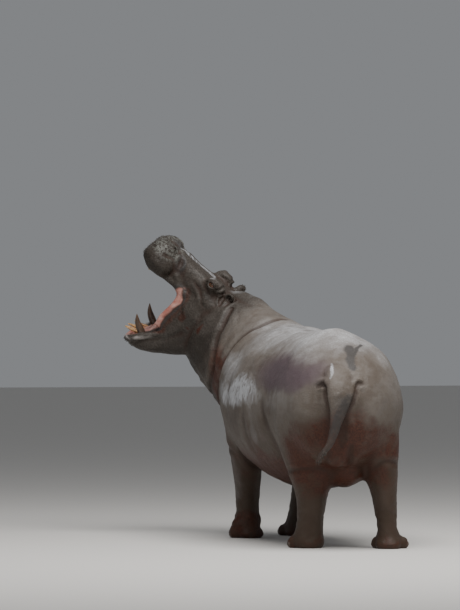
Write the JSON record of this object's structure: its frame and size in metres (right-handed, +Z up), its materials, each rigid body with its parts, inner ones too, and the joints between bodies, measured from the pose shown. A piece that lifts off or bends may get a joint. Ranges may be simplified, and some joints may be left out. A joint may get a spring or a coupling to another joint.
{
  "type": "hippopotamus",
  "caption": "Life-size hippopotamus standing on four feet, its head turned to its left and lifted in a wide gape that shows tusks, tongue and palate.",
  "frame": {"origin": "middle of the footprint of the whole animal, at the level of its soles", "axes": "+Z up; -Y is where the trunk faces, so the rump is towards +Y; +X is the animal's left"},
  "size_m": [1.4944, 3.0484, 2.1099],
  "materials": {
    "hide": "thick bare skin, grey-brown with dry pale mud, damp reddish folds and pink inside the mouth",
    "ivory": "stained ivory, brown at the root",
    "flesh": "wet pink flesh",
    "nail": "dull dark horn",
    "eye": "wet and glossy",
    "bristle": "stiff dark hair"
  },
  "bodies": {
    "root": {"trunk": "hide", "neck": "hide", "head": "hide", "jaw": "hide", "leg_front_left": "hide", "leg_front_right": "hide", "leg_hind_left": "hide", "leg_hind_right": "hide", "tail": "hide", "ear_left": "hide", "ear_right": "hide", "eye_left": "eye", "eye_right": "eye", "tongue": "flesh", "canine_lower_left": "ivory", "incisor_lower_inner_left": "ivory", "incisor_lower_outer_left": "ivory", "canine_upper_left": "ivory", "incisor_upper_inner_left": "ivory", "incisor_upper_outer_left": "ivory", "canine_lower_right": "ivory", "incisor_lower_inner_right": "ivory", "incisor_lower_outer_right": "ivory", "canine_upper_right": "ivory", "incisor_upper_inner_right": "ivory", "incisor_upper_outer_right": "ivory", "nail_front_left_1": "nail", "nail_front_left_2": "nail", "nail_front_left_3": "nail", "nail_front_left_4": "nail", "nail_front_right_1": "nail", "nail_front_right_2": "nail", "nail_front_right_3": "nail", "nail_front_right_4": "nail", "nail_hind_left_1": "nail", "nail_hind_left_2": "nail", "nail_hind_left_3": "nail", "nail_hind_left_4": "nail", "nail_hind_right_1": "nail", "nail_hind_right_2": "nail", "nail_hind_right_3": "nail", "nail_hind_right_4": "nail"}
  },
  "joints": []
}
